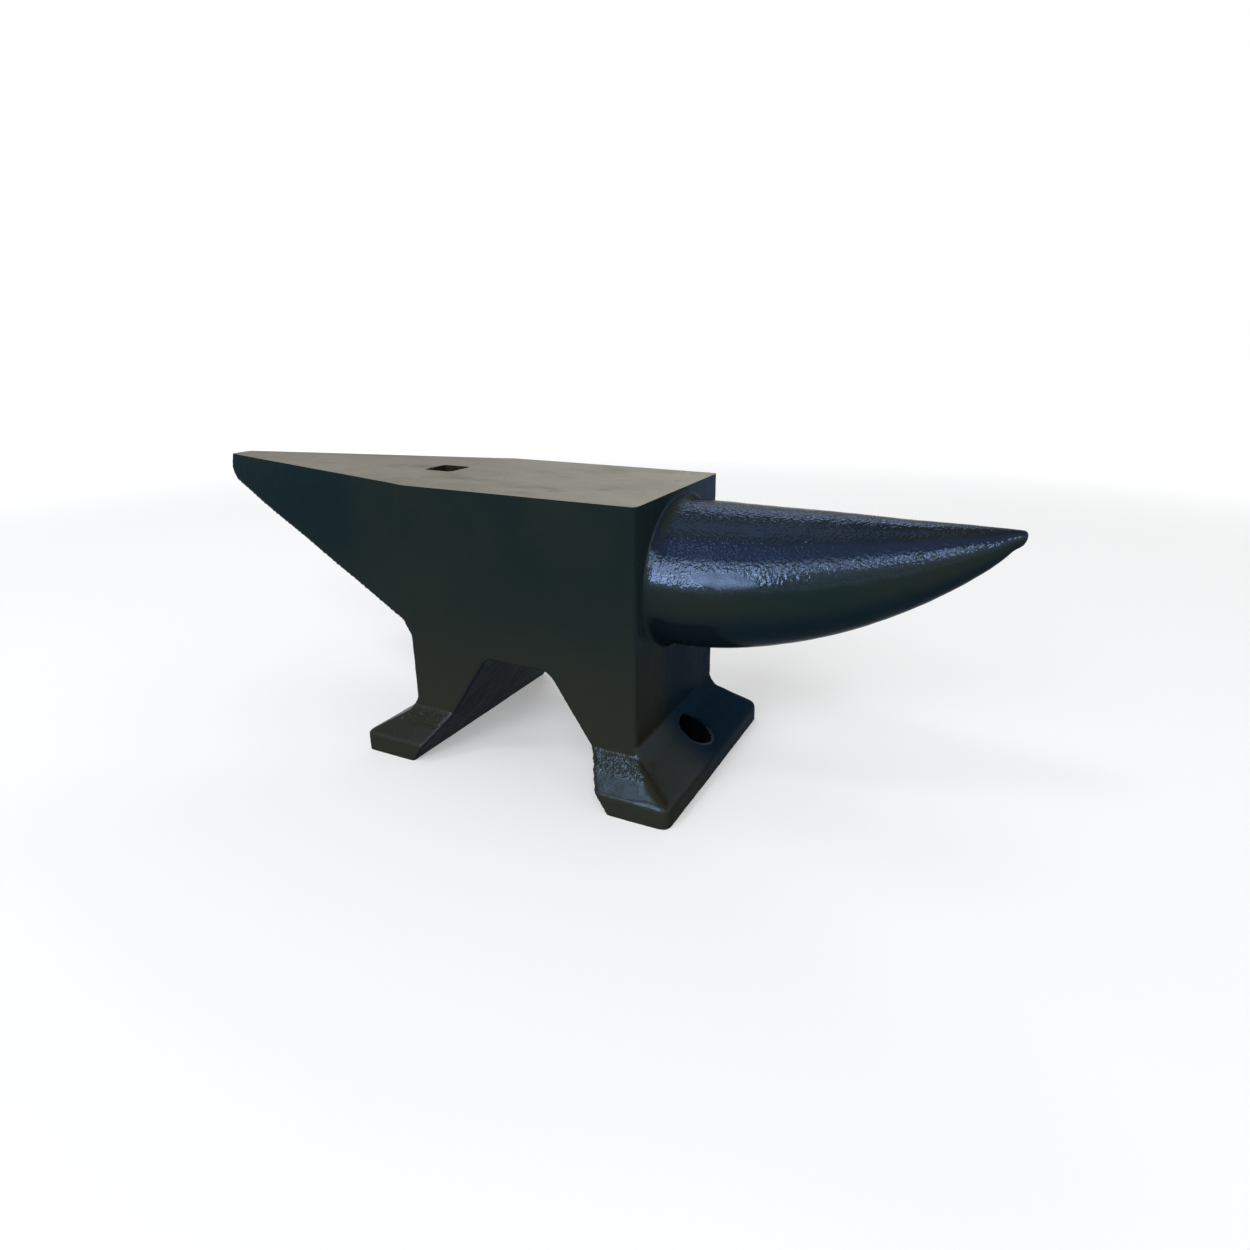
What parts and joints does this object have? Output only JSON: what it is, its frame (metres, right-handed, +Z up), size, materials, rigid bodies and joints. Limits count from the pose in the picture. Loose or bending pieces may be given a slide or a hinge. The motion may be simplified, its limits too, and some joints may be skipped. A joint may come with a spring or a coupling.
{
  "type": "horn anvil",
  "caption": "Blacksmith's anvil with a round horn, a flat tapering tail with a square hardy hole, an arched base on flared feet and a bare steel face.",
  "frame": {"origin": "on the ground, under the middle of the overall length and width", "axes": "+X along the anvil to the horn's point, +Y to its back, +Z up"},
  "size_m": [0.5042, 0.145, 0.16],
  "materials": {
    "body_paint": "dark blue-green gloss enamel over a rough surface",
    "horn_paint": "dark blue gloss enamel over a rough surface",
    "face_steel": "bare ground steel, dulled and stained"
  },
  "bodies": {
    "root": {"face_plate": "face_steel", "core": "body_paint", "tail": "body_paint", "horn": "horn_paint", "horn_end_leg": "body_paint", "tail_end_leg": "body_paint", "front_horn_foot": "body_paint", "back_horn_foot": "body_paint", "front_tail_foot": "body_paint", "back_tail_foot": "body_paint"}
  },
  "joints": []
}
